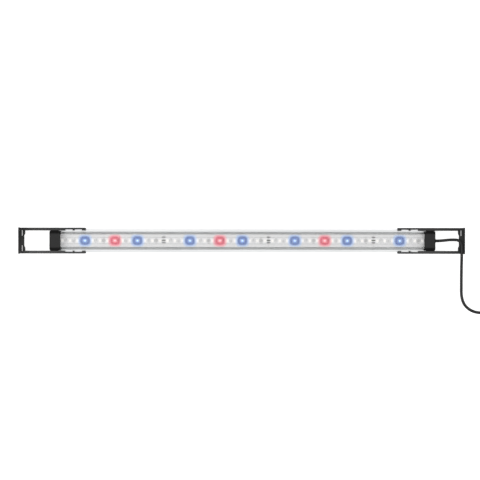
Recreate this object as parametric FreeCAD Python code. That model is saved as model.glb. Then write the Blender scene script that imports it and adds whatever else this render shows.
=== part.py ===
import FreeCAD, Part

import math
import os

from FreeCAD import Vector

# LED aquarium light, lying on its back with the LED side up.
# Millimetres. X runs along the lamp, Y across it and Z up, away from the lamp's flat back.
# The origin is the middle of the back face.

# ---- driving dimensions -------------------------------------------------------------------

LAMP_LENGTH = 550.0
CAP_LENGTH = 15.6
MODULE_LENGTH = 75.0
MODULES = 7
LEDS_PER_MODULE = 7
BOARD_MODULES = (2, 2, 2, 1)

BACK_HALF_WIDTH = 12.0
FLANGE_HALF_WIDTH = 16.4
FLANGE_BOTTOM = 3.0
FLANGE_TOP = 5.4
SEAT_HEIGHT = 3.9

COVER_TOP = 15.0
COVER_TOP_HALF_WIDTH = 9.95
COVER_SIDE_HALF_WIDTH = 12.4
COVER_FOOT_THICKNESS = 1.2
COVER_FOOT_GAP = (0.2, 0.25)
COVER_WALL = 1.4

PAD_THICKNESS = 0.2
PAD_HALF_WIDTH = 8.8
PAD_END_GAP = 0.5
BOARD_THICKNESS = 1.2
BOARD_WIDTH = 18.0
BOARD_GAP = 0.4
LED_SIZE = 5.0
LED_HEIGHT = 1.6
LED_WINDOW_RADIUS = 2.0
LED_WINDOW_DEPTH = 0.5

CAP_HALF_WIDTH = 13.7
CAP_TOP = 16.4
CAP_SHOULDER_RADIUS = 3.6
CAP_END_WALL = 2.7
GASKET_THICKNESS = 0.8
FIT_GAP = 0.15

SCREW_Y = 6.0
SCREW_Z = 2.1
SCREW_RADIUS = 1.0
SCREW_HEAD_RADIUS = 1.6
SCREW_REACH = 7.0

LEFT_BRACKET_FACE = 320.6
RIGHT_BRACKET_FACE = 318.4
BRACKET_LENGTH = 96.7
BRACKET_BOTTOM = 1.4
BRACKET_TOP = 7.2
ARM_OUTSIDE = 18.5
ARM_WALL = 1.5
ARM_LIP_INSIDE = 14.4
ARM_FOOT_INSIDE = 13.0
ARM_FOOT_LENGTH = 50.0
BRACKET_EDGE_ROUNDING = 0.7
CROSSBAR_DEPTH = 9.7
CROSSBAR_WAIST = 8.4
WAIST_HALF_WIDTH = 7.6
WAIST_MOUTH_HALF_WIDTH = 9.8
WAIST_ROUNDING = 1.2
EAR_HALF_WIDTH = 19.6
EAR_DEPTH = 2.4
EAR_ROUNDING = 0.9
RIM_WALL = 2.3
RIM_SEAT_HEIGHT = 6.2
SLIDE_GAP = 0.3
LIP_WINDOWS = ((5.4, 10.6), (18.8, 10.6))
SLOT_X = (4.9, 6.2)
SLOT_Y = (7.0, 15.0)

CABLE_DIAMETER = 4.1
CABLE_EXIT_Z = 10.3
CABLE_STRIPPED_X = 268.0
GROMMET_COLLAR = 0.7
COLLAR_RADIUS = 3.25
CABLE_HOLE_RADIUS = 2.95
WIRE_DIAMETER = 1.2

COIL_CENTRE = Vector(390.0, -69.0, 0.0)
COIL_RINGS = 5
COIL_LAYERS = 2
COIL_MIDDLE_RADIUS = 24.8
COIL_PITCH = 4.2
TIE_THICKNESS = 0.6
TIE_HALF_ANGLE = 8.0
TIE_ANGLE = 200.0

PLUG_ENTRY = Vector(421.2, -24.0, 5.0)
PLUG_RELIEF_LENGTH = 9.0
PLUG_BODY_LENGTH = 22.0
PLUG_BODY_RADIUS = 4.9
PLUG_BARREL_RADIUS = 2.75
PLUG_BARREL_LENGTH = 9.5

# ---- dimensions that follow ---------------------------------------------------------------

PROFILE_HALF = MODULES * MODULE_LENGTH / 2
LAMP_HALF = LAMP_LENGTH / 2
CAP_LIP = LAMP_HALF - CAP_LENGTH
CAP_SEAT = PROFILE_HALF + GASKET_THICKNESS
CAP_WALL_X = LAMP_HALF - CAP_END_WALL
LED_PITCH = MODULE_LENGTH / LEDS_PER_MODULE
BOARD_BOTTOM = SEAT_HEIGHT + PAD_THICKNESS
BOARD_TOP = BOARD_BOTTOM + BOARD_THICKNESS
LED_TOP = BOARD_TOP + LED_HEIGHT
CABLE_RADIUS = CABLE_DIAMETER / 2
FLOOR_Z = CABLE_RADIUS + 0.05
EXIT_X = LAMP_HALF + GROMMET_COLLAR
COIL_OUTER_RING = COIL_MIDDLE_RADIUS + (COIL_RINGS - 1) / 2 * COIL_PITCH
COIL_INNER_RING = COIL_MIDDLE_RADIUS - (COIL_RINGS - 1) / 2 * COIL_PITCH
COIL_OUTSIDE = COIL_OUTER_RING + CABLE_RADIUS
COIL_INSIDE = COIL_INNER_RING - CABLE_RADIUS
COIL_BOTTOM = TIE_THICKNESS
COIL_TOP = COIL_BOTTOM + CABLE_DIAMETER + (COIL_LAYERS - 1) * COIL_PITCH
COIL_ENTRY_Z = COIL_BOTTOM + CABLE_RADIUS
COIL_EXIT_Z = COIL_TOP - CABLE_RADIUS

# The lead's route: out of the cap, over the right bracket, down to the floor and into the coil.
CABLE_ROUTE = [
    (EXIT_X, 0.0, CABLE_EXIT_Z),
    (284.0, 0.1, 10.5),
    (297.5, 1.7, 13.3),
    (313.2, 0.8, 13.6),
    (313.2, -22.6, 13.5),
    (313.5, -37.0, 6.0),
    (313.6, -56.0, FLOOR_Z),
    (313.5, -87.0, FLOOR_Z),
    (327.7, -101.5, FLOOR_Z),
    (348.2, -103.6, FLOOR_Z),
    (369.2, -103.6, FLOOR_Z + 0.1),
    (COIL_CENTRE.x, COIL_CENTRE.y - COIL_OUTER_RING, COIL_ENTRY_Z),
]

# The last stretch, from the coil's outer ring to the plug.
PLUG_LEAD_ROUTE = [
    (COIL_CENTRE.x + COIL_OUTER_RING, COIL_CENTRE.y, COIL_EXIT_Z),
    (423.8, -59.4, 5.9),
    (423.0, -49.2, 3.6),
    (421.6, -39.8, 2.9),
    (421.1, -31.5, 4.5),
    (PLUG_ENTRY.x, PLUG_ENTRY.y, PLUG_ENTRY.z),
]


# ---- building blocks ----------------------------------------------------------------------

def rounded_face(corners, place):
    """Face inside a closed outline of corners (u, v, radius), put in space by place(u, v)."""
    points = [Vector(u, v, 0) for u, v, radius in corners]
    joins = []
    for index, (u, v, radius) in enumerate(corners):
        corner = points[index]
        back = (points[index - 1] - corner).normalize()
        ahead = (points[(index + 1) % len(points)] - corner).normalize()
        if radius == 0:
            joins.append((corner, None, corner))
            continue
        half = back.getAngle(ahead) / 2
        reach = radius / math.tan(half)
        bisector = (back + ahead).normalize()
        middle = corner + bisector * (radius / math.sin(half) - radius)
        joins.append((corner + back * reach, middle, corner + ahead * reach))
    edges = []
    for index, (start, middle, end) in enumerate(joins):
        if middle is not None:
            edges.append(Part.Arc(place(start.x, start.y), place(middle.x, middle.y),
                                  place(end.x, end.y)).toShape())
        following = joins[(index + 1) % len(joins)][0]
        edges.append(Part.LineSegment(place(end.x, end.y), place(following.x, following.y)).toShape())
    return Part.Face(Part.Wire(edges))


def along_x(corners, start, end):
    """Solid with a section of corners (y, z, radius), from x = start to x = end."""
    face = rounded_face(corners, lambda y, z: Vector(start, y, z))
    return face.extrude(Vector(end - start, 0, 0))


def along_z(corners, bottom, top):
    """Solid with a plan of corners (x, y, radius), from z = bottom to z = top."""
    face = rounded_face(corners, lambda x, y: Vector(x, y, bottom))
    return face.extrude(Vector(0, 0, top - bottom))


def block(x_range, y_range, z_range):
    """Plain box between the given limits."""
    size = [high - low for low, high in (x_range, y_range, z_range)]
    return Part.makeBox(*size, Vector(x_range[0], y_range[0], z_range[0]))


def rod(start, direction, length, radius):
    """Cylinder from a start point along a direction."""
    return Part.makeCylinder(radius, length, start, direction)


def both_halves(half_outline):
    """Whole outline of a section that is symmetrical about y = 0, from its half at y > 0."""
    mirrored = [(-y, z, radius) for y, z, radius in reversed(half_outline) if y > 0]
    return half_outline + mirrored


def mirrored_in_x(shape):
    return shape.mirror(Vector(0, 0, 0), Vector(1, 0, 0))


def fused(shapes):
    return shapes[0].multiFuse(shapes[1:]).removeSplitter()


def revolved(corners, centre, angle=360.0):
    """Ring about the vertical line through centre, with a section of corners (radius, z, rounding)."""
    face = rounded_face(corners, lambda r, z: Vector(centre.x + r, centre.y, z))
    return face.revolve(Vector(centre.x, centre.y, 0), Vector(0, 0, 1), angle)


def save(name, shapes):
    """Write one node; a list of separate solids goes into one node together."""
    shape = Part.makeCompound(shapes) if isinstance(shapes, list) else shapes
    for solid in shape.Solids:
        if not solid.isValid() or not solid.isClosed():
            print("BAD SOLID in", name)
    box = shape.BoundBox
    print(f"{name:20s} solids {len(shape.Solids):3d}  volume {shape.Volume:10.1f}  "
          f"x {box.XMin:8.2f} {box.XMax:8.2f}  y {box.YMin:8.2f} {box.YMax:8.2f}  "
          f"z {box.ZMin:6.2f} {box.ZMax:6.2f}")
    shape.exportStep(f"parts/{name}.step")


def cord_tube(name, route, diameter):
    """Round tube along straight runs joined by tangent arcs."""
    corners = [Vector(*point) for point in route]
    edges = []
    radii = []
    start = corners[0]
    for before, corner, after in zip(corners, corners[1:], corners[2:]):
        back = before - corner
        ahead = after - corner
        reach = 0.45 * min(back.Length, ahead.Length)
        turn = math.pi - back.getAngle(ahead)
        radius = reach / math.tan(turn / 2)
        back.normalize()
        ahead.normalize()
        bisector = (back + ahead).normalize()
        middle = corner + bisector * (radius / math.cos(turn / 2) - radius)
        arc_start = corner + back * reach
        arc_end = corner + ahead * reach
        edges.append(Part.LineSegment(start, arc_start).toShape())
        edges.append(Part.Arc(arc_start, middle, arc_end).toShape())
        radii.append(round(radius, 1))
        start = arc_end
    edges.append(Part.LineSegment(start, corners[-1]).toShape())
    path = Part.Wire(edges)
    section = Part.Wire([Part.Circle(corners[0], corners[1] - corners[0], diameter / 2).toShape()])
    tube = path.makePipeShell([section], True, False)
    expected = math.pi * diameter ** 2 / 4 * path.Length
    print(f"{name}: length {path.Length:.1f}, radii {radii}, volume {tube.Volume / expected:.4f} of expected")
    return tube


# ---- lamp body ----------------------------------------------------------------------------

def base_profile():
    """Aluminium extrusion: flat back with cooling grooves, flanges, cover grooves, board seat."""
    gap_inside, gap_outside = COVER_FOOT_GAP
    groove_inside = COVER_SIDE_HALF_WIDTH - COVER_FOOT_THICKNESS - gap_inside
    groove_outside = COVER_SIDE_HALF_WIDTH + gap_outside
    half = [
        (0.0, 0.0, 0),
        (BACK_HALF_WIDTH, 0.0, 0.8),
        (BACK_HALF_WIDTH, FLANGE_BOTTOM, 0.3),
        (FLANGE_HALF_WIDTH, FLANGE_BOTTOM, 0.4),
        (FLANGE_HALF_WIDTH, FLANGE_TOP, 0.9),
        (groove_outside, FLANGE_TOP, 0.2),
        (groove_outside, 3.2, 0),
        (groove_inside, 3.2, 0),
        (groove_inside, 5.0, 0.3),
        (9.4, 5.0, 0.3),
        (9.4, SEAT_HEIGHT, 0),
        (0.0, SEAT_HEIGHT, 0),
    ]
    body = along_x(both_halves(half), -PROFILE_HALF, PROFILE_HALF)
    cuts = []
    groove_width = 1.6
    groove_depth = 0.9
    for y in (-9.6, -3.2, 3.2, 9.6):
        cuts.append(along_x([(y - groove_width / 2, -1.0, 0), (y + groove_width / 2, -1.0, 0),
                             (y + groove_width / 2, groove_depth, 0.3),
                             (y - groove_width / 2, groove_depth, 0.3)],
                            -PROFILE_HALF - 1, PROFILE_HALF + 1))
    for y in (-SCREW_Y, SCREW_Y):
        cuts.append(rod(Vector(-PROFILE_HALF - 1, y, SCREW_Z), Vector(1, 0, 0),
                        2 * PROFILE_HALF + 2, SCREW_RADIUS + 0.02))
    return body.cut(cuts)


def cover_outside(gap, foot_z):
    """Half outline of the cover's outside, grown by a gap, down to foot_z."""
    return [
        (0.0, foot_z, 0),
        (COVER_SIDE_HALF_WIDTH + gap, foot_z, 0),
        (COVER_SIDE_HALF_WIDTH + gap, 5.5, 0),
        (COVER_TOP_HALF_WIDTH + gap, COVER_TOP + gap, 1.2),
        (0.0, COVER_TOP + gap, 0),
    ]


def clear_cover():
    """Clear hat-shaped cover: flat window, steep sides and feet that stand in the base's grooves."""
    outside = along_x(both_halves(cover_outside(0, 3.4)), -PROFILE_HALF, PROFILE_HALF)
    foot_inside = COVER_SIDE_HALF_WIDTH - COVER_FOOT_THICKNESS
    inside_half = [
        (0.0, 3.0, 0),
        (foot_inside, 3.0, 0),
        (foot_inside, 5.3, 0),
        (foot_inside - 0.55, 6.0, 0),
        (COVER_TOP_HALF_WIDTH - 1.05, COVER_TOP - COVER_WALL, 0.8),
        (0.0, COVER_TOP - COVER_WALL, 0),
    ]
    inside = along_x(both_halves(inside_half), -PROFILE_HALF - 1, PROFILE_HALF + 1)
    return outside.cut(inside)


def led_positions(offset):
    """Places of the LED that sits a number of pitches from each module's middle."""
    first = -PROFILE_HALF + MODULE_LENGTH / 2
    return [first + MODULE_LENGTH * module + LED_PITCH * offset for module in range(MODULES)]


def sort_leds():
    """Middle LED of each module is blue; the first LED of every second module is red."""
    blue = led_positions(0)
    red = led_positions(-3)[1::2]
    every = [x for offset in range(-3, 4) for x in led_positions(offset)]
    white = sorted(x for x in every if x not in blue and x not in red)
    return white, blue, red


def led_package(x):
    """LED housing with a round well and one clipped corner."""
    half = LED_SIZE / 2
    clip = 0.7
    body = along_z([(x - half, -half, 0.15), (x + half, -half, 0.15), (x + half, half - clip, 0),
                    (x + half - clip, half, 0), (x - half, half, 0.15)], BOARD_TOP, LED_TOP)
    well = rod(Vector(x, 0, LED_TOP - LED_WINDOW_DEPTH), Vector(0, 0, 1), 1.0, LED_WINDOW_RADIUS)
    return body.cut(well)


def led_window(x):
    """Resin disc that fills the LED's well."""
    return rod(Vector(x, 0, LED_TOP - LED_WINDOW_DEPTH), Vector(0, 0, 1),
               LED_WINDOW_DEPTH - 0.05, LED_WINDOW_RADIUS - 0.02)


def board_ends():
    """Where each board starts and ends along X."""
    ends = []
    start = -PROFILE_HALF
    for modules in BOARD_MODULES:
        end = start + modules * MODULE_LENGTH
        ends.append((start, end))
        start = end
    return ends


def led_board(start, end):
    half = BOARD_WIDTH / 2
    low = start + BOARD_GAP / 2
    high = end - BOARD_GAP / 2
    plan = [(low, -half, 0.3), (high, -half, 0.3), (high, half, 0.3), (low, half, 0.3)]
    return along_z(plan, BOARD_BOTTOM, BOARD_TOP)


def board_links():
    """Three soldered jumpers across each joint between two boards."""
    length = 5.3
    jumpers = []
    for start, end in board_ends()[:-1]:
        for y in (-2.9, 0.5, 5.0):
            section = [(y - 0.65, BOARD_TOP, 0), (y + 0.65, BOARD_TOP, 0),
                       (y + 0.65, BOARD_TOP + 0.7, 0.4), (y - 0.65, BOARD_TOP + 0.7, 0.4)]
            jumpers.append(along_x(section, end - length / 2, end + length / 2))
    return jumpers


def current_regulators():
    """One regulator with three legs and a tab per module."""
    chips = []
    for x in led_positions(2.5):
        body = block((x - 1.25, x + 1.25), (-1.9, 2.5), (BOARD_TOP, BOARD_TOP + 1.2))
        legs = [block((x - 2.1, x - 1.0), (y - 0.25, y + 0.25), (BOARD_TOP, BOARD_TOP + 0.4))
                for y in (-1.2, 0.3, 1.8)]
        tab = block((x + 1.0, x + 1.9), (-0.6, 1.2), (BOARD_TOP, BOARD_TOP + 0.4))
        chips.append(fused([body, tab] + legs))
    return chips


def resistors():
    """Three chip resistors across the board between two LEDs, and two beside each regulator."""
    long_side = 3.2
    short_side = 1.6
    height = 0.55
    chips = []
    for offset, y, x_side, y_side in ((1.5, 1.2, short_side, long_side), (-1.5, -0.6, short_side, long_side),
                                      (-2.5, 1.6, short_side, long_side), (2.5, 4.7, long_side, short_side),
                                      (2.5, -4.0, long_side, short_side)):
        for x in led_positions(offset):
            chips.append(block((x - x_side / 2, x + x_side / 2), (y - y_side / 2, y + y_side / 2),
                               (BOARD_TOP, BOARD_TOP + height)))
    return chips


# ---- end caps, drawn for the lamp's right end --------------------------------------------

def end_cap():
    """Moulded cap: a lip over the cover, a hollow for the wires and two screw holes."""
    hat = along_x(both_halves([(0.0, 4.0, 0), (CAP_HALF_WIDTH, 4.0, 0),
                               (CAP_HALF_WIDTH, CAP_TOP, CAP_SHOULDER_RADIUS),
                               (0.0, CAP_TOP, 0)]), CAP_LIP, LAMP_HALF)
    rail = along_x(both_halves([(0.0, 0.0, 0), (BACK_HALF_WIDTH, 0.0, 0.8),
                                (BACK_HALF_WIDTH, FLANGE_BOTTOM, 0.3),
                                (FLANGE_HALF_WIDTH, FLANGE_BOTTOM, 0.4),
                                (FLANGE_HALF_WIDTH, FLANGE_TOP, 0.9),
                                (0.0, FLANGE_TOP, 0)]), CAP_SEAT, LAMP_HALF)
    body = fused([hat, rail])
    corner = 1.6
    plan = [(CAP_LIP - 1, -FLANGE_HALF_WIDTH, 0), (LAMP_HALF, -FLANGE_HALF_WIDTH, corner),
            (LAMP_HALF, FLANGE_HALF_WIDTH, corner), (CAP_LIP - 1, FLANGE_HALF_WIDTH, 0)]
    body = body.common(along_z(plan, -1.0, CAP_TOP + 1))
    end_edges = [edge for edge in body.Edges
                 if min(vertex.X for vertex in edge.Vertexes) > LAMP_HALF - 0.001
                 and max(vertex.Z for vertex in edge.Vertexes) > FLANGE_TOP + 0.1]
    body = body.makeFillet(0.9, end_edges)

    lip_room = along_x(both_halves(cover_outside(FIT_GAP, 3.0)), CAP_LIP - 1, CAP_SEAT)
    below_lip = block((CAP_LIP - 1, CAP_SEAT), (-20, 20), (-1, FLANGE_TOP + 0.1))
    chamber_half = [(0.0, 4.9, 0), (8.4, 4.9, 1.0), (8.4, 13.6, 2.0), (0.0, 13.6, 0)]
    chamber = along_x(both_halves(chamber_half), CAP_SEAT - 0.1, CAP_WALL_X)
    cuts = [lip_room, below_lip, chamber]
    for y in (-SCREW_Y, SCREW_Y):
        cuts.append(rod(Vector(CAP_SEAT - 1, y, SCREW_Z), Vector(1, 0, 0), 20, SCREW_RADIUS + 0.15))
        cuts.append(rod(Vector(LAMP_HALF - 2.0, y, SCREW_Z), Vector(1, 0, 0), 5, SCREW_HEAD_RADIUS + 0.1))
    return body.cut(cuts)


def cap_gasket():
    """Foam seal between the cap and the ends of the base and cover."""
    half = [(0.0, 0.3, 0), (BACK_HALF_WIDTH - 0.3, 0.3, 0.5), (BACK_HALF_WIDTH - 0.3, 3.3, 0),
            (FLANGE_HALF_WIDTH - 0.6, 3.3, 0.3), (FLANGE_HALF_WIDTH - 0.6, 5.1, 0.5),
            (11.7, 5.1, 0), (11.7, 5.6, 0), (8.8, 14.8, 1.0), (0.0, 14.8, 0)]
    seal = along_x(both_halves(half), PROFILE_HALF, CAP_SEAT)
    window = along_x(both_halves([(0.0, 5.2, 0), (8.0, 5.2, 1.0), (7.2, 13.0, 1.0), (0.0, 13.0, 0)]),
                     PROFILE_HALF - 1, CAP_SEAT + 1)
    holes = [rod(Vector(PROFILE_HALF - 1, y, SCREW_Z), Vector(1, 0, 0), 5, SCREW_RADIUS + 0.2)
             for y in (-SCREW_Y, SCREW_Y)]
    return seal.cut([window] + holes)


def cap_screws():
    """Two self-tapping screws with a cross recess."""
    head_bottom = LAMP_HALF - 2.0
    screws = []
    for y in (-SCREW_Y, SCREW_Y):
        start = Vector(PROFILE_HALF - SCREW_REACH, y, SCREW_Z)
        tip = Part.makeCone(0.3, SCREW_RADIUS, 1.5, start - Vector(1.5, 0, 0), Vector(1, 0, 0))
        shank = rod(start, Vector(1, 0, 0), head_bottom - start.x, SCREW_RADIUS)
        head = rod(Vector(head_bottom, y, SCREW_Z), Vector(1, 0, 0), 1.4, SCREW_HEAD_RADIUS)
        screw = fused([tip, shank, head])
        slot_x = (head_bottom + 0.7, head_bottom + 2.0)
        recess = [block(slot_x, (y - 1.0, y + 1.0), (SCREW_Z - 0.2, SCREW_Z + 0.2)),
                  block(slot_x, (y - 0.2, y + 0.2), (SCREW_Z - 1.0, SCREW_Z + 1.0))]
        screws.append(screw.cut(recess))
    return screws


def cable_grommet():
    """Rubber sleeve in the right cap's end wall, with a collar on each side."""
    axis = Vector(1, 0, 0)
    centre_line = Vector(0, 0, CABLE_EXIT_Z)
    inner_collar = 1.2
    parts = [rod(centre_line + axis * (CAP_WALL_X - inner_collar), axis, inner_collar, COLLAR_RADIUS),
             rod(centre_line + axis * CAP_WALL_X, axis, CAP_END_WALL, CABLE_HOLE_RADIUS),
             rod(centre_line + axis * LAMP_HALF, axis, GROMMET_COLLAR, COLLAR_RADIUS)]
    hole = rod(centre_line + axis * CABLE_STRIPPED_X, axis, 10, CABLE_RADIUS)
    return fused(parts).cut(hole)


def cable_wire(side):
    """Insulated core from the stripped lead to a pad at the board's end."""
    route = [(CABLE_STRIPPED_X, side * 1.0, CABLE_EXIT_Z), (265.3, side * 1.2, CABLE_EXIT_Z - 0.1),
             (265.1, side * 5.4, 6.3), (262.2, side * 5.6, 6.1)]
    return cord_tube("wire", route, WIRE_DIAMETER)


def wire_joints():
    """Solder blobs that join the two wires to the last board."""
    return [along_z([(260.6, y - 0.9, 0.4), (262.2, y - 0.9, 0.4), (262.2, y + 0.9, 0.4),
                     (260.6, y + 0.9, 0.4)], BOARD_TOP, BOARD_TOP + 1.5)
            for y in (-5.6, 5.6)]


# ---- sliding brackets, drawn for the lamp's right end ------------------------------------

def bracket_arm(face_x, side):
    """C-shaped channel, with a deeper foot where it wraps the lamp's flange."""
    free_end = face_x - BRACKET_LENGTH
    web = ARM_OUTSIDE - ARM_WALL
    foot_top = FLANGE_BOTTOM - SLIDE_GAP
    lip_bottom = FLANGE_TOP + SLIDE_GAP
    section = [
        (side * ARM_OUTSIDE, BRACKET_BOTTOM, 0.5),
        (side * ARM_OUTSIDE, BRACKET_TOP, 0),
        (side * ARM_LIP_INSIDE, BRACKET_TOP, 0.2),
        (side * ARM_LIP_INSIDE, lip_bottom, 0.2),
        (side * web, lip_bottom, 0),
        (side * web, foot_top, 0),
        (side * ARM_LIP_INSIDE, foot_top, 0),
        (side * ARM_LIP_INSIDE, BRACKET_BOTTOM, 0),
    ]
    channel = along_x(section, free_end, face_x - CROSSBAR_WAIST)
    foot_y = sorted((side * ARM_FOOT_INSIDE, side * web))
    foot = block((free_end, free_end + ARM_FOOT_LENGTH), foot_y, (BRACKET_BOTTOM, foot_top))
    plan = [(free_end, side * 12.0, 0), (face_x, side * 12.0, 0), (face_x, side * ARM_OUTSIDE, 0),
            (free_end, side * ARM_OUTSIDE, 1.2)]
    return fused([channel, foot]).common(along_z(plan, 0.0, 10.0))


def lip_windows(face_x):
    """Gaps in the upper lips near the free end of the arms, two on each side."""
    free_end = face_x - BRACKET_LENGTH
    windows = []
    for start, length in LIP_WINDOWS:
        for side in (-1, 1):
            y_range = sorted((side * 13.0, side * (ARM_OUTSIDE - ARM_WALL)))
            windows.append(block((free_end + start, free_end + start + length), y_range,
                                 (FLANGE_TOP, BRACKET_TOP + 1)))
    return windows


def outer_top_edges(body):
    """Edges of the bracket's top face that lie on its outline."""
    face_x = body.BoundBox.XMax
    chosen = []
    for edge in body.Edges:
        level = all(abs(vertex.Z - BRACKET_TOP) < 0.01 for vertex in edge.Vertexes)
        on_side = abs(edge.CenterOfMass.y) > ARM_OUTSIDE - 0.5
        on_face = all(vertex.X > face_x - 0.5 for vertex in edge.Vertexes)
        if level and (on_side or on_face):
            chosen.append(edge)
    return chosen


def bracket(face_x):
    """U-shaped holder: a crossbar with a seat for the tank's rim, and two channel arms."""
    inner = face_x - CROSSBAR_DEPTH
    waist = face_x - CROSSBAR_WAIST
    half_plan = [(inner, ARM_OUTSIDE, 0), (face_x - EAR_DEPTH, ARM_OUTSIDE, 0),
                 (face_x, EAR_HALF_WIDTH, EAR_ROUNDING)]
    inner_plan = [(waist, -WAIST_HALF_WIDTH, WAIST_ROUNDING),
                  (inner, -WAIST_MOUTH_HALF_WIDTH, WAIST_ROUNDING)]
    plan = [(x, -y, radius) for x, y, radius in half_plan]
    plan += list(reversed(half_plan))
    plan += [(x, -y, radius) for x, y, radius in reversed(inner_plan)] + inner_plan
    crossbar = along_z(plan, BRACKET_BOTTOM, BRACKET_TOP)
    arms = [bracket_arm(face_x, side) for side in (-1, 1)]
    body = fused([crossbar] + arms)
    body = body.makeFillet(BRACKET_EDGE_ROUNDING, outer_top_edges(body))
    cuts = lip_windows(face_x)
    cuts.append(along_z([(face_x - RIM_WALL, -ARM_LIP_INSIDE, 0.8), (face_x - RIM_WALL, ARM_LIP_INSIDE, 0.8),
                         (inner - 3, ARM_LIP_INSIDE, 0), (inner - 3, -ARM_LIP_INSIDE, 0)],
                        RIM_SEAT_HEIGHT, BRACKET_TOP + 1))
    slot_near, slot_far = SLOT_X
    for side in (-1, 1):
        near, far = sorted(side * y for y in SLOT_Y)
        cuts.append(along_z([(face_x - slot_far, near, 0.4), (face_x - slot_near, near, 0.4),
                             (face_x - slot_near, far, 0.4), (face_x - slot_far, far, 0.4)], 0.0, 10.0))
    pocket_z = 3.6
    cuts.append(along_z([(face_x - 7.0, -5.0, 0.6), (face_x - 1.6, -5.0, 0.6),
                         (face_x - 1.6, 5.0, 0.6), (face_x - 7.0, 5.0, 0.6)], 0.0, pocket_z))
    return body.cut(cuts)


# ---- coil, tie and plug ------------------------------------------------------------------

def cable_coil():
    """Outer shape of the wound lead."""
    rounding = CABLE_RADIUS - 0.1
    return revolved([(COIL_INSIDE, COIL_BOTTOM, rounding), (COIL_OUTSIDE, COIL_BOTTOM, rounding),
                     (COIL_OUTSIDE, COIL_TOP, rounding), (COIL_INSIDE, COIL_TOP, rounding)], COIL_CENTRE)


def coil_tie():
    """Strap round the coil's turns."""
    def ring_section(gap, rounding):
        return [(COIL_INSIDE - gap, COIL_BOTTOM - gap, rounding),
                (COIL_OUTSIDE + gap, COIL_BOTTOM - gap, rounding),
                (COIL_OUTSIDE + gap, COIL_TOP + gap, rounding),
                (COIL_INSIDE - gap, COIL_TOP + gap, rounding)]
    angle = 2 * TIE_HALF_ANGLE
    outer = revolved(ring_section(TIE_THICKNESS, CABLE_RADIUS), COIL_CENTRE, angle)
    inner = revolved(ring_section(0.0, CABLE_RADIUS - 0.1), COIL_CENTRE, angle)
    strap = outer.cut(inner)
    strap.rotate(COIL_CENTRE, Vector(0, 0, 1), TIE_ANGLE - TIE_HALF_ANGLE)
    return strap


def plug_shape(outline):
    """Round body about the plug's axis; outline holds (distance from the entry, radius, rounding)."""
    def place(distance, radius):
        return Vector(PLUG_ENTRY.x, PLUG_ENTRY.y + distance, PLUG_ENTRY.z + radius)
    face = rounded_face(outline, place)
    return face.revolve(PLUG_ENTRY, Vector(0, 1, 0), 360)


def dc_plug():
    """Moulded plug body with a tapered, ringed strain relief and two finger flats."""
    body_end = PLUG_RELIEF_LENGTH + PLUG_BODY_LENGTH
    body = plug_shape([(0.0, 0.0, 0), (0.0, 2.7, 0.3), (PLUG_RELIEF_LENGTH, 3.7, 0),
                       (PLUG_RELIEF_LENGTH, PLUG_BODY_RADIUS, 1.0), (body_end, PLUG_BODY_RADIUS, 0.5),
                       (body_end, 0.0, 0)])
    cuts = []
    for distance in (1.8, 3.8, 5.8, 7.6):
        cuts.append(plug_shape([(distance, 2.3, 0), (distance, 5.0, 0),
                                (distance + 0.8, 5.0, 0), (distance + 0.8, 2.3, 0)]))
    grip = (PLUG_ENTRY.y + PLUG_RELIEF_LENGTH + 3.0, PLUG_ENTRY.y + body_end - 5.0)
    for side in (-1, 1):
        x_range = sorted((PLUG_ENTRY.x + side * 4.3, PLUG_ENTRY.x + side * 6.0))
        cuts.append(block(x_range, grip, (0, 10)))
    return body.cut(cuts)


def plug_barrel():
    """Hollow contact sleeve."""
    start = PLUG_RELIEF_LENGTH + PLUG_BODY_LENGTH
    end = start + PLUG_BARREL_LENGTH
    sleeve = plug_shape([(start, 0.0, 0), (start, PLUG_BARREL_RADIUS, 0),
                         (end, PLUG_BARREL_RADIUS, 0.3), (end, 0.0, 0)])
    hole = plug_shape([(start + 1.0, 0.0, 0), (start + 1.0, 1.05, 0), (end + 1, 1.05, 0), (end + 1, 0.0, 0)])
    return sleeve.cut(hole)


def thermal_pad():
    """Thin strip between the profile's seat and the boards."""
    half_length = PROFILE_HALF - PAD_END_GAP
    return block((-half_length, half_length), (-PAD_HALF_WIDTH, PAD_HALF_WIDTH), (SEAT_HEIGHT, BOARD_BOTTOM))


# ---- write every node --------------------------------------------------------------------

os.makedirs("parts", exist_ok=True)

save("base_profile", base_profile())
save("clear_cover", clear_cover())
save("thermal_pad", thermal_pad())
for number, (board_start, board_end) in enumerate(board_ends(), start=1):
    save(f"led_board_{number}", led_board(board_start, board_end))
save("board_links", board_links())
for colour, places in zip(("white", "blue", "red"), sort_leds()):
    save(f"{colour}_leds", [led_package(x) for x in places])
    save(f"{colour}_led_windows", [led_window(x) for x in places])
save("current_regulators", current_regulators())
save("resistors", resistors())

right_cap = end_cap()
save("end_cap_left", mirrored_in_x(right_cap))
cable_hole = rod(Vector(CAP_WALL_X - 1, 0, CABLE_EXIT_Z), Vector(1, 0, 0), 10, CABLE_HOLE_RADIUS)
save("end_cap_right", right_cap.cut(cable_hole))
save("cap_gasket_left", mirrored_in_x(cap_gasket()))
save("cap_gasket_right", cap_gasket())
save("cap_screws_left", [mirrored_in_x(screw) for screw in cap_screws()])
save("cap_screws_right", cap_screws())

save("cable_grommet", cable_grommet())
save("cable_end", rod(Vector(CABLE_STRIPPED_X, 0, CABLE_EXIT_Z), Vector(1, 0, 0),
                      EXIT_X - CABLE_STRIPPED_X, CABLE_RADIUS))
save("wire_positive", cable_wire(1))
save("wire_negative", cable_wire(-1))
save("wire_joints", wire_joints())

save("bracket_left", mirrored_in_x(bracket(LEFT_BRACKET_FACE)))
save("bracket_right", bracket(RIGHT_BRACKET_FACE))

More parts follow.
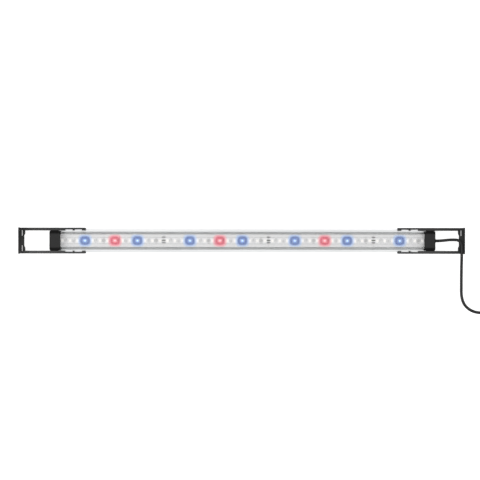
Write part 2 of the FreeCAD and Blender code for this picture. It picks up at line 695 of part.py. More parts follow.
save("power_cable", cord_tube("power_cable", CABLE_ROUTE, CABLE_DIAMETER))
save("cable_coil", cable_coil())
save("coil_tie", coil_tie())
save("plug_lead", cord_tube("plug_lead", PLUG_LEAD_ROUTE, CABLE_DIAMETER))
save("dc_plug", dc_plug())
save("plug_barrel", plug_barrel())
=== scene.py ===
import math

import bmesh
import bpy
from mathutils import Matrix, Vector


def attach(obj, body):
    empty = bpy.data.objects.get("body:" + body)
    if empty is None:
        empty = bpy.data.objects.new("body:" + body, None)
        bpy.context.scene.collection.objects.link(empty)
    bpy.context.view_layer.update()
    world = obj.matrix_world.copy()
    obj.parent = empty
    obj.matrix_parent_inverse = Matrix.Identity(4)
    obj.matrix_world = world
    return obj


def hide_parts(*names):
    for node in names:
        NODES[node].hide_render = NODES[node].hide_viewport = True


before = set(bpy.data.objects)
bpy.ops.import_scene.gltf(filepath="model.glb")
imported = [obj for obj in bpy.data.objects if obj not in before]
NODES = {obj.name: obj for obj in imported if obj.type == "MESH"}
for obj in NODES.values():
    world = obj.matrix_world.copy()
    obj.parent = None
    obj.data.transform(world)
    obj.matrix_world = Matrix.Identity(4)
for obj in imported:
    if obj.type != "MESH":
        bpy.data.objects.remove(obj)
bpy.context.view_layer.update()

# Metres, in the row frame: X along the lamp, Y across it, Z up out of its lit side.

MM = 0.001

# ---- camera and stage ---------------------------------------------------------------------

VIEW_WIDTH = 0.6861
VIEW_CENTRE = Vector((-0.0034, 0.00104, 0.0070))
CAMERA_HEIGHT = 2.6
SENSOR = 36.0
CAMERA_ROLL = math.radians(0.056)

FLOOR_REACH = 8.0
FLOOR_DROP = 0.3 * MM
HORIZON_LIGHT = 0.30
OVERHEAD_LIGHT = 1.52
KEY_PLACE = (-1.9, 0.2, 1.6)
KEY_WIDTH = 1.6
KEY_WATTS = 26


def make_camera():
    """Long lens straight above the lamp, with +Y at the top of the picture."""
    camera = bpy.data.objects.new("camera", bpy.data.cameras.new("camera"))
    bpy.context.scene.collection.objects.link(camera)
    camera.data.sensor_width = SENSOR
    camera.data.lens = SENSOR * CAMERA_HEIGHT / VIEW_WIDTH
    camera.location = VIEW_CENTRE + Vector((0, 0, CAMERA_HEIGHT))
    camera.rotation_euler = (0, 0, CAMERA_ROLL)
    camera.data.clip_end = 50.0
    bpy.context.scene.camera = camera


def area_light(name, location, target, size, watts):
    light = bpy.data.lights.new(name, "AREA")
    light.shape = "DISK"
    light.size = size
    light.energy = watts
    holder = bpy.data.objects.new(name, light)
    holder.location = location
    holder.rotation_euler = (Vector(target) - Vector(location)).to_track_quat("-Z", "Y").to_euler()
    holder.visible_camera = False
    bpy.context.scene.collection.objects.link(holder)


def make_floor():
    """White paper that glows a little, as an overexposed studio table does."""
    mesh = bpy.data.meshes.new("floor")
    corners = [(x * FLOOR_REACH, y * FLOOR_REACH, 0) for x, y in ((-1, -1), (1, -1), (1, 1), (-1, 1))]
    mesh.from_pydata(corners, [], [(0, 1, 2, 3)])
    floor = bpy.data.objects.new("floor", mesh)
    floor.location.z = -FLOOR_DROP
    bpy.context.scene.collection.objects.link(floor)
    look = Look("floor_paper")
    paper = look.node("ShaderNodeBsdfDiffuse", {"Color": (0.50, 0.50, 0.50, 1)})
    lift = look.node("ShaderNodeEmission", {"Color": (1, 1, 1, 1), "Strength": 0.74})
    look.finish(look.node("ShaderNodeAddShader", {0: paper.outputs[0], 1: lift.outputs[0]}))
    mesh.materials.append(look.material)


def make_surroundings():
    """Soft white overhead that fades to a darker horizon, as under a large studio softbox."""
    world = bpy.data.worlds.new("surroundings")
    world.use_nodes = True
    tree = world.node_tree
    background = tree.nodes["Background"]
    background.inputs["Color"].default_value = (1, 1, 1, 1)
    direction = tree.nodes.new("ShaderNodeTexCoord").outputs["Generated"]
    axes = tree.nodes.new("ShaderNodeSeparateXYZ")
    tree.links.new(direction, axes.inputs[0])
    fade = tree.nodes.new("ShaderNodeMapRange")
    fade.interpolation_type = "SMOOTHSTEP"
    fade.inputs["From Min"].default_value = -0.05
    fade.inputs["From Max"].default_value = 0.95
    fade.inputs["To Min"].default_value = HORIZON_LIGHT
    fade.inputs["To Max"].default_value = OVERHEAD_LIGHT
    tree.links.new(axes.outputs["Z"], fade.inputs["Value"])
    tree.links.new(fade.outputs[0], background.inputs["Strength"])
    bpy.context.scene.world = world


def make_stage():
    """White floor, soft surroundings and one side light."""
    make_floor()
    make_surroundings()
    area_light("key_light", KEY_PLACE, (0, 0, 0), KEY_WIDTH, KEY_WATTS)
    bpy.context.scene.view_settings.view_transform = "Standard"


# ---- materials ----------------------------------------------------------------------------

class Look:
    """One node material, built from short calls."""

    def __init__(self, name):
        self.material = bpy.data.materials.new(name)
        self.material.use_nodes = True
        self.tree = self.material.node_tree
        self.tree.nodes.clear()
        self.output = self.tree.nodes.new("ShaderNodeOutputMaterial")
        self.coords = self.tree.nodes.new("ShaderNodeTexCoord").outputs["Object"]

    def node(self, kind, inputs=(), **settings):
        made = self.tree.nodes.new(kind)
        for key, value in settings.items():
            setattr(made, key, value)
        for key, value in dict(inputs).items():
            if isinstance(value, bpy.types.NodeSocket):
                self.tree.links.new(value, made.inputs[key])
            else:
                made.inputs[key].default_value = value
        return made

    def finish(self, shader):
        self.tree.links.new(shader.outputs[0], self.output.inputs["Surface"])

    def math(self, operation, a, b=0.0):
        return self.node("ShaderNodeMath", {0: a, 1: b}, operation=operation).outputs[0]

    def noise(self, scale, detail=3.0, stretch=(1.0, 1.0, 1.0)):
        """Noise with features about 1/scale metres across, longer where stretch is below 1."""
        placed = self.node("ShaderNodeMapping", {"Vector": self.coords, "Scale": stretch})
        return self.node("ShaderNodeTexNoise", {"Vector": placed.outputs[0], "Scale": scale,
                                                "Detail": detail}).outputs["Fac"]

    def place(self, axis):
        """Where the surface lies along one axis."""
        return self.node("ShaderNodeSeparateXYZ", {0: self.coords}).outputs[axis]

    def facing(self):
        """0 where a surface faces the eye, 1 where it's seen edge on."""
        return self.node("ShaderNodeLayerWeight", {"Blend": 0.5}).outputs["Facing"]

    def mapped(self, value, start, end, low, high):
        """Takes start to low and end to high, and stays level beyond both."""
        return self.node("ShaderNodeMapRange", {"Value": value, "From Min": start, "From Max": end,
                                                "To Min": low, "To Max": high}).outputs[0]

    def spread(self, value, low, high):
        """Maps noise, which stays near the middle, onto low to high."""
        return self.mapped(value, 0.3, 0.7, low, high)

    def ramp(self, value, stops):
        """Colour by value, from stops of (position, (r, g, b))."""
        made = self.node("ShaderNodeValToRGB", {"Fac": value})
        elements = made.color_ramp.elements
        while len(elements) < len(stops):
            elements.new(0.5)
        for element, (position, colour) in zip(elements, stops):
            element.position = position
            element.color = (*colour, 1)
        return made.outputs["Color"]

    def mixed(self, factor, a, b, blend="MIX"):
        made = self.node("ShaderNodeMix", {0: factor}, data_type="RGBA", blend_type=blend)
        for key, value in ((6, a), (7, b)):
            if isinstance(value, bpy.types.NodeSocket):
                self.tree.links.new(value, made.inputs[key])
            else:
                made.inputs[key].default_value = (*value, 1)
        return made.outputs[2]

    def bump(self, height, distance, strength=1.0):
        return self.node("ShaderNodeBump", {"Height": height, "Distance": distance,
                                            "Strength": strength}).outputs[0]

    def principled(self, inputs):
        return self.node("ShaderNodeBsdfPrincipled", inputs)


def grey(value):
    return (value, value, value)


def srgb(red, green, blue):
    """Linear colour of an 8-bit screen colour."""
    return tuple(((c / 255 + 0.055) / 1.055) ** 2.4 if c > 10 else c / 255 / 12.92
                 for c in (red, green, blue))


def face_on(look, full, reach):
    """Sheen that is full where a surface faces the eye, and gone at reach, a share of the way to edge on;
    taking it off faces seen edge on paints shade on them.
    """
    return look.mapped(look.facing(), 0.0, reach, full, 0.0)


# How far a surface's normal points up: a wall below the first, a top above the second.
WALL_UP = 0.10
TOP_UP = 0.38


def moulded_plastic(name, shade, roughness, grain, sheen, reach=0.3, shade_fades=(), painted_wall_lift=1.0):
    """Black moulded plastic with spark-eroded grain and faint flow marks.

    Each fade (axis, start, end, share) brings the sheen down to that share between two places on an axis, as
    painted shade.
    Upright walls are painted lighter than the tops by the wall lift, a painted light on them.
    """
    look = Look(name)
    cloud = look.noise(38, 4)
    fine = look.noise(2600, 2)
    colour = look.mixed(look.spread(cloud, 0, 1), grey(shade * 0.8), grey(shade * 1.25))
    normal = look.node("ShaderNodeTexCoord").outputs["Normal"]
    up = look.math("ABSOLUTE", look.node("ShaderNodeSeparateXYZ", {0: normal}).outputs["Z"])
    wall = look.mapped(up, WALL_UP, TOP_UP, 1.0, 0.0)
    # Painted light: upright walls get a lighter colour than tops.
    painted_wall_shade = shade * painted_wall_lift
    painted_wall_pale = look.mixed(look.spread(cloud, 0, 1), grey(painted_wall_shade * 0.85), grey(painted_wall_shade * 1.2))
    colour = look.mixed(wall, colour, painted_wall_pale)
    rough = look.math("ADD", look.spread(fine, -0.05, 0.05),
                      look.spread(cloud, roughness - 0.03, roughness + 0.04))
    gloss = face_on(look, sheen, reach)
    # Painted shade: the sheen is brought down by place on the part.
    for axis, start, end, share in shade_fades:
        gloss = look.math("MULTIPLY", gloss, look.mapped(look.place(axis), start, end, 1.0, share))
    look.finish(look.principled({"Base Color": colour, "Roughness": rough, "Specular IOR Level": gloss,
                                 "Normal": look.bump(fine, grain)}))
    return look.material


def extruded_aluminium():
    """Satin anodised extrusion with die lines along X."""
    look = Look("extruded_aluminium")
    lines = look.noise(2400, 2, stretch=(0.004, 1, 1))
    cloud = look.noise(22, 3, stretch=(0.3, 1, 1))
    colour = look.mixed(look.spread(cloud, 0, 1), (0.55, 0.56, 0.565), (0.61, 0.62, 0.62))
    rough = look.math("ADD", look.spread(lines, -0.05, 0.05), look.spread(cloud, 0.36, 0.42))
    look.finish(look.principled({"Base Color": colour, "Metallic": 0.55, "Roughness": rough,
                                 "Normal": look.bump(lines, 0.000012)}))
    return look.material


COVER_HALF_WIDTH = 12.4 * MM
COVER_GLOSS = 0.7


def clear_extrusion():
    """Clear plastic with sharp gloss and faint draw lines, with grey shade painted where it is seen edge on
    and over its side walls.
    """
    look = Look("clear_extrusion")
    lines = look.noise(900, 2, stretch=(0.0004, 1, 1))
    # Painted shade: greyer edge on, and greyer over the side walls by place across the lamp, standing in for
    # refraction and reflection there.
    clear = look.ramp(look.facing(), [(0.0, grey(0.985)), (0.45, grey(0.98)), (0.75, grey(0.97)),
                                      (1.0, grey(0.84))])
    out = look.math("DIVIDE", look.math("ABSOLUTE", look.place("Y")), COVER_HALF_WIDTH)
    walls = look.ramp(out, [(0.87, grey(1.0)), (0.93, grey(0.955)), (1.0, grey(0.925))])
    painted_shade_tint = look.mixed(1.0, clear, walls, "MULTIPLY")
    through = look.node("ShaderNodeBsdfTransparent", {"Color": painted_shade_tint})
    gloss = look.node("ShaderNodeBsdfGlossy", {"Color": (1, 1, 1, 1), "Roughness": 0.06,
                                               "Normal": look.bump(lines, 0.000002)})
    shine = look.node("ShaderNodeFresnel", {"IOR": 1.45}).outputs[0]
    share = look.math("MULTIPLY", shine, COVER_GLOSS)
    look.finish(look.node("ShaderNodeMixShader", {0: share, 1: through.outputs[0], 2: gloss.outputs[0]}))
    return look.material


# Seven modules of seven packages. Each module's middle package is blue, and the second, fourth and
# sixth modules start with a red one.
MODULE = 75 * MM
MODULES = 7
PER_MODULE = 7
PACKAGES = MODULES * PER_MODULE
LED_PITCH = MODULE / PER_MODULE
FIRST_PACKAGE = -(PACKAGES - 1) / 2 * LED_PITCH
FIRST_BLUE = -(MODULES - 1) / 2 * MODULE
FIRST_RED = FIRST_BLUE + 4 * LED_PITCH
RED_COUNT = 3

# Painted glow: the light of a lit blue or red package is painted into the colour of what lies round it. Each
# list holds distances from the package's middle in millimetres and the colours seen there on the plain board,
# and ends on the board's own.
# Outlines of equal glow are squarish, and a little narrower across the lamp than along it.
BOARD_SEEN = srgb(219, 219, 218)
BOARD_SHADE = 0.70
GLOW_REACH = 11.0
GLOW_SQUARENESS = 2.8
GLOW_NARROWING = 1.08
BLUE_GLOW = [(0.0, srgb(180, 208, 250)), (2.4, srgb(118, 152, 203)), (3.6, srgb(99, 131, 191)),
             (5.4, srgb(90, 116, 176)), (6.4, srgb(119, 143, 194)), (7.2, srgb(159, 181, 221)),
             (8.6, srgb(188, 205, 232)), (GLOW_REACH, BOARD_SEEN)]
RED_GLOW = [(0.0, srgb(255, 177, 178)), (2.4, srgb(228, 122, 134)), (3.6, srgb(221, 97, 114)),
            (5.4, srgb(220, 90, 111)), (6.4, srgb(230, 126, 142)), (7.2, srgb(237, 150, 163)),
            (8.6, srgb(236, 182, 185)), (GLOW_REACH, BOARD_SEEN)]


def glow_distance(look, first, spacing, count, squareness=GLOW_SQUARENESS):
    """Distance across the board from the nearest of a row of lights, 0 to 1 over GLOW_REACH.

    Equal distances lie on circles at squareness 2 and on ever squarer outlines above it.
    """
    step = look.math("DIVIDE", look.math("SUBTRACT", look.place("X"), first), spacing)
    nearest = look.math("MAXIMUM", look.math("MINIMUM", look.math("ROUND", step), count - 1), 0)
    part = look.math("SUBTRACT", step, nearest)
    along = look.math("ABSOLUTE", look.math("MULTIPLY", part, spacing / (GLOW_REACH * MM)))
    across = look.math("ABSOLUTE", look.math("MULTIPLY", look.place("Y"), GLOW_NARROWING / (GLOW_REACH * MM)))
    total = look.math("ADD", look.math("POWER", along, squareness), look.math("POWER", across, squareness))
    return look.math("POWER", total, 1 / squareness)


def glow_stops(glow, shade):
    """Ramp stops that make a surface of the given plain shade show these colours."""
    return [(distance / GLOW_REACH, tuple(c / plain * shade for c, plain in zip(colour, BOARD_SEEN)))
            for distance, colour in glow]


def painted_glow_shade(look, shade):
    """Surface colour of the given plain shade, with the light of the lit blue and red packages painted on it.
    """
    to_red = glow_distance(look, FIRST_RED, 2 * MODULE, RED_COUNT)
    blue = look.ramp(glow_distance(look, FIRST_BLUE, MODULE, MODULES), glow_stops(BLUE_GLOW, shade))
    red = look.ramp(to_red, glow_stops(RED_GLOW, shade))
    return look.mixed(look.math("LESS_THAN", to_red, 1.0), blue, red)


def band(look, value, centre, half):
    """1 where value lies within half of centre."""
    return look.math("LESS_THAN", look.math("ABSOLUTE", look.math("SUBTRACT", value, centre)), half)


# Marks on the board, as distances from a package's middle. A printed outline's two kinds of line run
# across the lamp and along it.
PRINT_OUT = 4.5 * MM
ACROSS_LINE_HALF = 0.35 * MM
ACROSS_LINE_REACH = 4.9 * MM
ALONG_LINE_HALF = 0.4 * MM
ALONG_LINE_REACH = 4.8 * MM
PRINT_TONE = 0.72
MARGIN_START = 4.9 * MM
MARGIN_TONE = 0.88
MARGIN_SHARE = 0.6
TRACK_OUT = 7.3 * MM
TRACK_HALF = 1.1 * MM
TRACK_TONE = 0.97
TRACK_SHARE = 0.6


def board_mask():
    """White solder mask: greyer margins, printed outlines round the packages, two raised copper tracks, and
    the packages' glow painted on.
    """
    look = Look("board_mask")
    cloud = look.noise(160, 3)
    tone = look.mixed(look.spread(cloud, 0, 1), grey(0.97), grey(1.03))
    across = look.math("ABSOLUTE", look.place("Y"))
    step = look.math("DIVIDE", look.math("SUBTRACT", look.place("X"), FIRST_BLUE), LED_PITCH)
    off = look.math("ABSOLUTE", look.math("SUBTRACT", step, look.math("ROUND", step)))
    along = look.math("MULTIPLY", off, LED_PITCH)
    sides = look.math("MULTIPLY", band(look, along, PRINT_OUT, ACROSS_LINE_HALF),
                      look.math("LESS_THAN", across, ACROSS_LINE_REACH))
    ends = look.math("MULTIPLY", band(look, across, PRINT_OUT, ALONG_LINE_HALF),
                     look.math("LESS_THAN", along, ALONG_LINE_REACH))
    print_ink = look.math("MAXIMUM", sides, ends)
    track = band(look, across, TRACK_OUT, TRACK_HALF)
    margin = look.mixed(MARGIN_SHARE, tone, grey(MARGIN_TONE))
    tone = look.mixed(look.math("GREATER_THAN", across, MARGIN_START), tone, margin)
    tone = look.mixed(print_ink, tone, grey(PRINT_TONE))
    tone = look.mixed(look.math("MULTIPLY", track, TRACK_SHARE), tone, grey(TRACK_TONE))
    height = look.math("ADD", track, look.math("MULTIPLY", print_ink, 0.5))
    colour = look.mixed(1.0, tone, painted_glow_shade(look, BOARD_SHADE), "MULTIPLY")
    look.finish(look.principled({"Base Color": colour, "Roughness": look.spread(cloud, 0.34, 0.46),
                                 "Normal": look.bump(height, 0.00003, 0.6)}))
    return look.material


def led_housing():
    """White moulded package body, with the blue and red lights' glow painted on it."""
    look = Look("led_housing")
    fine = look.noise(3000, 2)
    colour = look.mixed(1.0, look.mixed(look.spread(fine, 0, 1), grey(0.96), grey(1.04)),
                        painted_glow_shade(look, 0.76), "MULTIPLY")
    look.finish(look.principled({"Base Color": colour, "Roughness": look.spread(fine, 0.35, 0.5),
                                 "Normal": look.bump(fine, 0.00001)}))
    return look.material


def lit_resin(name, first, spacing, count, stops, strength, body=1.0):
    """Resin lens that shines, brightest in the middle, as stops of (distance in millimetres, colour) say.

    A body below 1 makes the resin darker than its own light. A row that fills every pitch passes the blue and
    red packages too, and their glow is painted on it.
    """
    look = Look(name)
    stops = [(distance / GLOW_REACH, colour) for distance, colour in stops]
    light = look.ramp(glow_distance(look, first, spacing, count, squareness=2.0), stops)
    if spacing == LED_PITCH:
        light = look.mixed(1.0, light, painted_glow_shade(look, 1.0), "MULTIPLY")
    fine = look.noise(1800, 2)
    resin = look.mixed(1.0, light, grey(body), "MULTIPLY")
    look.finish(look.principled({"Base Color": resin, "Roughness": look.spread(fine, 0.12, 0.2),
                                 "Emission Color": light, "Emission Strength": strength}))
    return look.material


DARK_BAND_MIDDLE = 0.5 * MM
DARK_BAND_HALF = 1.2 * MM
DARK_BAND_SHARE = 0.75
DARK_BAND_COLOUR = (0.030, 0.030, 0.018)


def tinned_metal(name, shade, roughness, dark_middle=False):
    """Dull solder with a slightly uneven skin; the flag makes it darker in a band near the lamp's centre
    line.
    """
    look = Look(name)
    lumps = look.noise(1300, 3)
    colour = look.mixed(look.spread(lumps, 0, 1), grey(shade * 0.8), grey(shade * 1.15))
    if dark_middle:
        dark_band = band(look, look.place("Y"), DARK_BAND_MIDDLE, DARK_BAND_HALF)
        colour = look.mixed(look.math("MULTIPLY", dark_band, DARK_BAND_SHARE), colour, DARK_BAND_COLOUR)
    look.finish(look.principled({"Base Color": colour, "Metallic": 0.9,
                                 "Roughness": look.spread(lumps, roughness, roughness + 0.15),
                                 "Normal": look.bump(lumps, 0.00004)}))
    return look.material


def chip_body(name, shade):
    look = Look(name)
    grain = look.noise(4000, 2)
    colour = look.mixed(look.spread(grain, 0, 1), grey(0.9), grey(1.1))
    # The blue and red packages' glow is painted on the body.
    colour = look.mixed(1.0, colour, painted_glow_shade(look, shade), "MULTIPLY")
    look.finish(look.principled({"Base Color": colour, "Roughness": look.spread(grain, 0.45, 0.6),
                                 "Normal": look.bump(grain, 0.00001)}))
    return look.material


def soft_rubber(name, shade, roughness, sheen=0.3, reach=0.5):
    """Cable jacket or rubber: smooth, slightly uneven sheen."""
    look = Look(name)
    cloud = look.noise(120, 3)
    fine = look.noise(3200, 2)
    colour = look.mixed(look.spread(cloud, 0, 1), grey(shade * 0.85), grey(shade * 1.2))
    look.finish(look.principled({"Base Color": colour,
                                 "Roughness": look.spread(cloud, roughness - 0.05, roughness + 0.07),
                                 "Specular IOR Level": face_on(look, sheen, reach),
                                 "Normal": look.bump(fine, 0.000015)}))
    return look.material


def drawn_wire(name, colour):
    look = Look(name)
    fine = look.noise(1500, 2)
    shade = look.mixed(look.spread(fine, 0, 1), tuple(c * 0.85 for c in colour), colour)
    look.finish(look.principled({"Base Color": shade, "Roughness": look.spread(fine, 0.3, 0.42)}))
    return look.material


def plated_steel(name, colour, roughness):
    look = Look(name)
    marks = look.noise(1600, 3)
    shade = look.mixed(look.spread(marks, 0, 1), tuple(c * 0.88 for c in colour), colour)
    look.finish(look.principled({"Base Color": shade, "Metallic": 1.0,
                                 "Roughness": look.spread(marks, roughness, roughness + 0.12),
                                 "Normal": look.bump(marks, 0.00001)}))
    return look.material


def foam(name, shade):
    look = Look(name)
    cells = look.node("ShaderNodeTexVoronoi", {"Vector": look.coords, "Scale": 2500}).outputs["Distance"]
    colour = look.mixed(cells, grey(shade * 0.6), grey(shade * 1.3))
    look.finish(look.principled({"Base Color": colour, "Roughness": look.spread(cells, 0.8, 0.95),
                                 "Normal": look.bump(cells, 0.00005)}))
    return look.material


def paint(node, look):
    """Gives a CAD node one material."""
    slots = NODES[node].data.materials
    slots.clear()
    slots.append(look)


def paint_nodes():
    """Gives each CAD node that stays visible its look, and returns the lead's."""
    # Painted shade: the sheen fades at the caps' shoulders, across the brackets towards +Y, and towards their
    # outer ends.
    painted_shoulder_shade = [("Y", side * 9.0 * MM, side * 10.4 * MM, 0.30) for side in (1, -1)]
    painted_across_shade = ("Y", -14 * MM, 14 * MM, 0.62)
    painted_left_end_shade = ("X", -300 * MM, -313 * MM, 0.25)
    painted_right_end_shade = ("X", 270 * MM, 318 * MM, 0.25)
    cap_black = moulded_plastic("cap_black", 0.0075, 0.40, 0.000012, sheen=0.235, reach=0.03,
                                shade_fades=painted_shoulder_shade, painted_wall_lift=3.0)
    # Lit and shaded copies of one black plastic: the right bracket's copy is painted a little darker, as
    # shade from the light on the left.
    left_black_lit = moulded_plastic("bracket_black_lit_left", 0.014, 0.42, 0.00002, sheen=0.56, reach=0.35,
                                 shade_fades=[painted_across_shade, painted_left_end_shade], painted_wall_lift=1.7)
    right_black_shaded = moulded_plastic("bracket_black_shaded_right", 0.012, 0.42, 0.00002, sheen=0.56, reach=0.35,
                                  shade_fades=[painted_across_shade, painted_right_end_shade], painted_wall_lift=1.9)
    board = board_mask()
    housing = led_housing()
    joints = tinned_metal("joint_solder", 0.17, 0.5, dark_middle=True)
    solder = tinned_metal("solder", 0.3, 0.4)
    steel = plated_steel("screw_steel", (0.60, 0.60, 0.61), 0.25)
    seal = foam("seal_foam", 0.04)
    jacket = soft_rubber("cable_jacket", 0.008, 0.42, 0.28)
    white_stops = [(0.0, srgb(237, 235, 232)), (1.2, srgb(232, 230, 227)), (2.0, srgb(224, 222, 219))]
    looks = {
        "base_profile": extruded_aluminium(),
        "clear_cover": clear_extrusion(),
        "thermal_pad": foam("pad_foam", 0.5),
        "board_links": joints,
        "wire_joints": solder,
        "white_leds": housing,
        "blue_leds": housing,
        "red_leds": housing,
        "white_led_windows": lit_resin("white_light", FIRST_PACKAGE, LED_PITCH, PACKAGES, white_stops,
                                       0.50, body=0.62),
        "blue_led_windows": lit_resin("blue_light", FIRST_BLUE, MODULE, MODULES,
                                      [(0.0, srgb(204, 222, 250)), (0.9, srgb(182, 208, 248)),
                                       (1.5, srgb(145, 172, 232)), (2.0, srgb(125, 154, 212))], 0.4),
        "red_led_windows": lit_resin("red_light", FIRST_RED, 2 * MODULE, RED_COUNT,
                                     [(0.0, srgb(255, 200, 202)), (0.9, srgb(252, 178, 184)),
                                      (1.5, srgb(242, 146, 158)), (2.0, srgb(232, 126, 142))], 0.4),
        "current_regulators": chip_body("regulator_body", 0.46),
        "resistors": chip_body("resistor_body", 0.52),
        "end_cap_left": cap_black,
        "end_cap_right": cap_black,
        "bracket_left": left_black_lit,
        "bracket_right": right_black_shaded,
        "cap_gasket_left": seal,
        "cap_gasket_right": seal,
        "cap_screws_left": steel,
        "cap_screws_right": steel,
        "cable_grommet": soft_rubber("grommet_rubber", 0.012, 0.5),
        "cable_end": jacket,
        "wire_positive": drawn_wire("red_wire", (0.20, 0.012, 0.010)),
        "wire_negative": drawn_wire("black_wire", (0.02, 0.02, 0.02)),
        "coil_tie": soft_rubber("tie_strap", 0.02, 0.6),
        "dc_plug": moulded_plastic("plug_black", 0.012, 0.42, 0.000015, 0.45, 0.6),
        "plug_barrel": plated_steel("nickel", (0.80, 0.78, 0.74), 0.14),
    }
    for number in (1, 2, 3, 4):
        looks[f"led_board_{number}"] = board
    for node, look in looks.items():
        paint(node, look)
    return jacket


# ---- terminals ----------------------------------------------------------------------------

# Millimetres. The slope holds (distance out from the package, height above the board); a leg's height
# drops to LEG_EDGE_HEIGHT of that at its two sides.
BOARD_TOP = 5.3
PACKAGE_HALF = 2.5
LEG_WIDTH = 0.9
LEG_SPACING = 1.6
LEG_SLOPE = [(-0.05, 0.62), (0.10, 0.60), (0.22, 0.46), (0.38, 0.27), (0.58, 0.13), (0.80, 0.04)]
LEG_SECTIONS = (-1.0, -0.82, 0.0, 0.82, 1.0)
LEG_EDGE_HEIGHT = 0.72
LEG_LIFT = 0.01
FOOT_LIFT = 0.005
BOARD_JOINTS = (-112.5, 37.5, 187.5)
JOINT_ROOM = 3.2


def solder_leg(mesh, x, y, direction):
    """One tinned leg and its solder: a hollow slope running down from the package to its pad."""
    rings = []
    for share in LEG_SECTIONS:
        height = LEG_EDGE_HEIGHT if abs(share) == 1.0 else 1.0
        side = y + share * LEG_WIDTH / 2
        tops = [(x + direction * out, side, BOARD_TOP + LEG_LIFT + up * height) for out, up in LEG_SLOPE]
        feet = [(x + direction * out, side, BOARD_TOP + FOOT_LIFT) for out, _ in LEG_SLOPE]
        rings.append([[mesh.verts.new(Vector(place) * MM) for place in row] for row in (tops, feet)])
    for (ring, foot), (next_ring, next_foot) in zip(rings, rings[1:]):
        for a, b, c, d in zip(ring, ring[1:], next_ring[1:], next_ring):
            mesh.faces.new((a, b, c, d))
        mesh.faces.new((ring[0], next_ring[0], next_foot[0], foot[0]))
        mesh.faces.new((ring[-1], foot[-1], next_foot[-1], next_ring[-1]))
        for a, b, c, d in zip(foot, next_foot, next_foot[1:], foot[1:]):
            mesh.faces.new((a, b, c, d))
    for ring, foot in (rings[0], rings[-1]):
        for a, b, c, d in zip(ring, foot, foot[1:], ring[1:]):
            mesh.faces.new((a, b, c, d))


def make_solder_legs(metal):
    """Three legs on each side of every package, left out beside the board joints."""
    mesh = bmesh.new()
    for number in range(PACKAGES):
        x = (FIRST_PACKAGE + number * LED_PITCH) / MM
        for direction in (-1, 1):
            edge = x + direction * PACKAGE_HALF
            if min(abs(edge - joint) for joint in BOARD_JOINTS) < JOINT_ROOM:
                continue
            for row in (-1, 0, 1):
                solder_leg(mesh, edge, row * LEG_SPACING, direction)
    bmesh.ops.recalc_face_normals(mesh, faces=mesh.faces)
    data = bpy.data.meshes.new("led_terminals")
    mesh.to_mesh(data)
    mesh.free()
    for face in data.polygons:
        face.use_smooth = True
    data.materials.append(metal)
    legs = bpy.data.objects.new("led_terminals", data)
    bpy.context.scene.collection.objects.link(legs)
    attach(legs, "lamp")


# ---- the lead -----------------------------------------------------------------------------

CABLE = 4.1 * MM

# From here on lengths are in millimetres and angles in degrees. FLOOR is the height of the lead's
# middle where it lies down.
FLOOR = 2.1
COIL_CENTRE = (390.0, -69.0)
COIL_RINGS = 5
COIL_MIDDLE = 24.8
COIL_PITCH = 4.2
COIL_LOW_Z = 2.65
POINTS_PER_TURN = 16
COIL_START = -90.0
COIL_END = 3240.0
SHIFT = 50.0

# Out of the cap, over the bracket's crossbar and arm, down and along the floor.
OUTWARD = [
    (275.7, 0.0, 10.3),
    (284.0, 0.1, 10.4),
    (297.5, 1.9, 10.3),
    (313.2, 1.0, 10.2),
    (313.2, -22.6, 10.3),
    (313.5, -37.0, 4.4),
    (313.6, -56.0, FLOOR),
    (313.5, -87.0, FLOOR),
    (327.7, -101.5, FLOOR),
    (348.2, -103.6, FLOOR),
    (369.2, -103.6, FLOOR + 0.1),
]

# From the coil to the plug's strain relief.
TO_PLUG = [
    (423.8, -59.4, 5.9),
    (423.0, -49.2, 3.6),
    (421.6, -39.8, 2.9),
    (421.1, -31.5, 4.5),
    (421.2, -24.0, 5.0),
]


def eased(value):
    """0 to 1 with a smooth start and end."""
    value = min(max(value, 0.0), 1.0)
    return value * value * (3 - 2 * value)


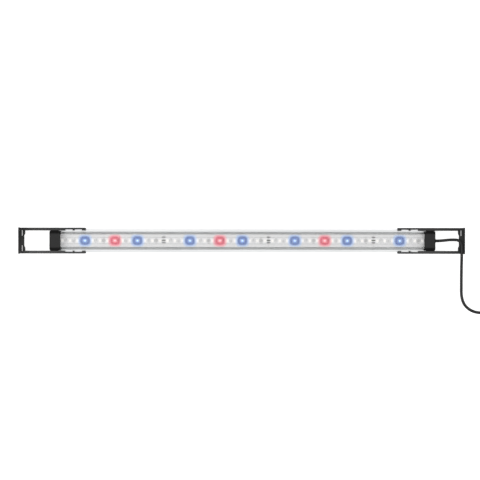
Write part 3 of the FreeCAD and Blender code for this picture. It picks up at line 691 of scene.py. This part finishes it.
def coil_points():
    """Turns from the outer ring in, up to the second layer and out again, as one path.

    Each change of ring or layer takes SHIFT degrees, and the second layer's changes come earlier in
    their turns than the first layer's, so that no turn meets another.
    """
    full = 360.0
    inward = [COIL_START + full * turn - SHIFT for turn in range(1, COIL_RINGS)]
    climb = COIL_START + full * COIL_RINGS - 2 * SHIFT
    first_outward = climb - SHIFT + full
    outward = [first_outward + full * turn for turn in range(COIL_RINGS - 1)]
    # A spline of order 3 touches only the middles of its polygon's sides, so the corners stand further out.
    swell = 1 / math.cos(math.pi / POINTS_PER_TURN)
    points = []
    steps = round((COIL_END - COIL_START) / full * POINTS_PER_TURN)
    for step in range(steps + 1):
        angle = COIL_START + (COIL_END - COIL_START) * step / steps
        ring = COIL_RINGS - 1
        ring -= sum(eased((angle - start) / SHIFT) for start in inward)
        ring += sum(eased((angle - start) / SHIFT) for start in outward)
        radius = (COIL_MIDDLE + (ring - (COIL_RINGS - 1) / 2) * COIL_PITCH) * swell
        height = COIL_LOW_Z + COIL_PITCH * eased((angle - climb) / SHIFT)
        turned = math.radians(angle)
        points.append((COIL_CENTRE[0] + radius * math.cos(turned),
                       COIL_CENTRE[1] + radius * math.sin(turned), height))
    return points


def make_lead(jacket):
    """The whole lead as one spline from the grommet to the plug."""
    points = OUTWARD + coil_points() + TO_PLUG
    curve = bpy.data.curves.new("power_lead", "CURVE")
    curve.dimensions = "3D"
    spline = curve.splines.new("NURBS")
    spline.points.add(len(points) - 1)
    for point, place in zip(spline.points, points):
        point.co = (*(c * MM for c in place), 1)
    spline.order_u = 3
    spline.use_endpoint_u = True
    spline.resolution_u = 8
    curve.bevel_depth = CABLE / 2
    curve.bevel_resolution = 6
    curve.use_fill_caps = True
    curve.materials.append(jacket)
    lead = bpy.data.objects.new("power_lead", curve)
    bpy.context.scene.collection.objects.link(lead)
    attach(lead, "lamp")
    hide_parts("power_cable", "cable_coil", "plug_lead")


# ---- build --------------------------------------------------------------------------------

make_camera()
make_stage()
lead_jacket = paint_nodes()
make_solder_legs(tinned_metal("leg_solder", 0.60, 0.35))
make_lead(lead_jacket)
